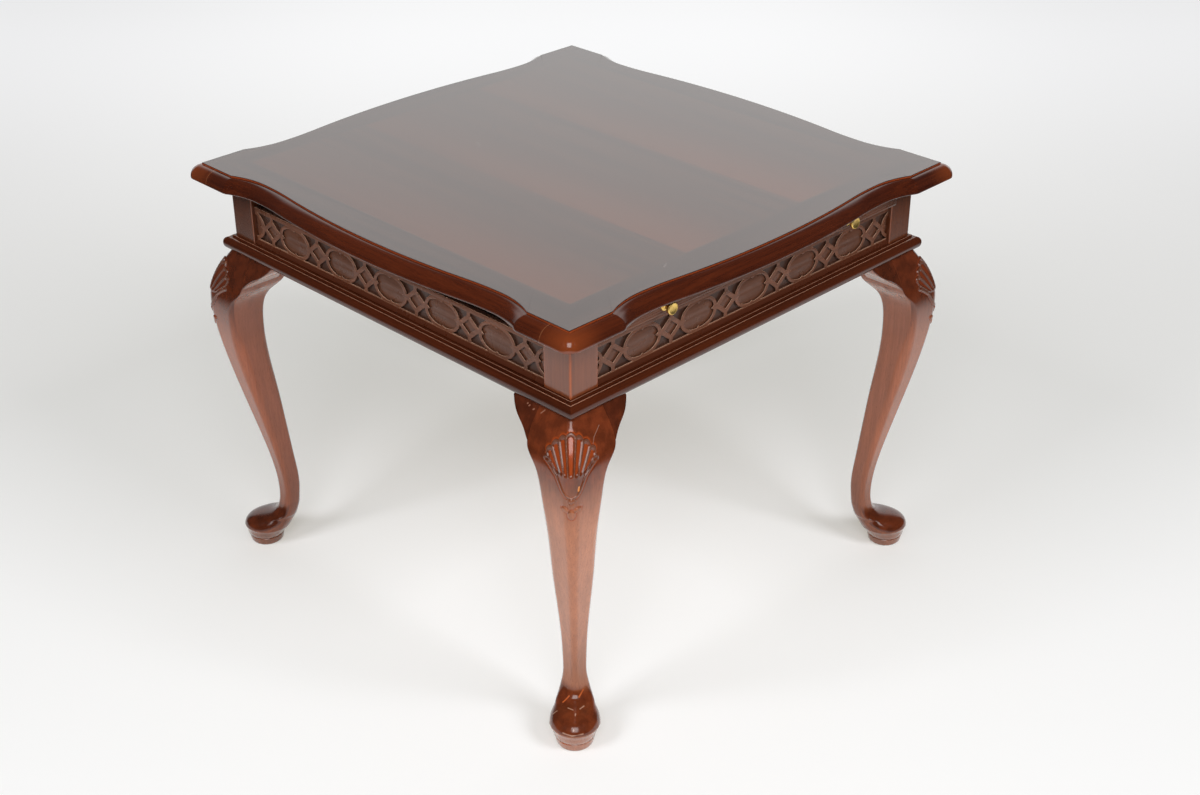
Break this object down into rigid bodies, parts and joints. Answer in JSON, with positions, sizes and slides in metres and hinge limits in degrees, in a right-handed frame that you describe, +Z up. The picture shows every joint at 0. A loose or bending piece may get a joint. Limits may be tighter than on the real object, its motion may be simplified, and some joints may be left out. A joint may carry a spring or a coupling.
{
  "type": "occasional table with pull-out slide",
  "caption": "Square side table, serpentine moulded top, cabriole legs with pad feet, blind-fret rails and a pull-out slide with brass knobs.",
  "frame": {"origin": "centre of the bounding box's base, on the floor under the middle of the top", "axes": "+Z up; the slide opens towards -Y; +X to the right for someone who faces the slide from outside"},
  "size_m": [0.69, 0.702, 0.568],
  "materials": {
    "field_veneer": "satin lacquer",
    "border_veneer": "satin lacquer",
    "solid_wood": "gloss lacquer",
    "leg_wood": "gloss lacquer",
    "secondary_wood": "sealed",
    "core_board": "sealed",
    "brass": "polished",
    "steel": "zinc plated"
  },
  "bodies": {
    "table": {"base_moulding_back": "solid_wood", "base_moulding_front": "solid_wood", "base_moulding_left": "solid_wood", "base_moulding_right": "solid_wood", "corner_block_back_left": "secondary_wood", "corner_block_back_right": "secondary_wood", "corner_block_front_left": "secondary_wood", "corner_block_front_right": "secondary_wood", "corner_block_screws": "steel", "fret_panel_back": "solid_wood", "fret_panel_front": "solid_wood", "fret_panel_left": "solid_wood", "fret_panel_right": "solid_wood", "knee_block_back_left_back_rail": "leg_wood", "knee_block_back_left_side_rail": "leg_wood", "knee_block_back_right_back_rail": "leg_wood", "knee_block_back_right_side_rail": "leg_wood", "knee_block_front_left_front_rail": "leg_wood", "knee_block_front_left_side_rail": "leg_wood", "knee_block_front_right_front_rail": "leg_wood", "knee_block_front_right_side_rail": "leg_wood", "leg_back_left": "leg_wood", "leg_back_right": "leg_wood", "leg_front_left": "leg_wood", "leg_front_right": "leg_wood", "post_dowels": "secondary_wood", "rail_back": "secondary_wood", "rail_front": "secondary_wood", "rail_left": "secondary_wood", "rail_right": "secondary_wood", "slide_back_stops": "secondary_wood", "slide_guide_left": "secondary_wood", "slide_guide_right": "secondary_wood", "slide_runner_left": "secondary_wood", "slide_runner_right": "secondary_wood", "top_border_back": "border_veneer", "top_border_front": "border_veneer", "top_border_left": "border_veneer", "top_border_right": "border_veneer", "top_core": "core_board", "top_edge_back": "solid_wood", "top_edge_front": "solid_wood", "top_edge_left": "solid_wood", "top_edge_right": "solid_wood", "top_veneer_field": "field_veneer", "upper_rail_back": "secondary_wood"},
    "slide": {"slide_board": "secondary_wood", "slide_front_strip": "solid_wood", "knob_left": "brass", "knob_right": "brass", "slide_stop_batten": "secondary_wood"}
  },
  "joints": [
    {"name": "slide_pull", "type": "slide", "parent": "table", "child": "slide", "axis": [0, -1, 0], "range_m": [0, 0.28]}
  ]
}
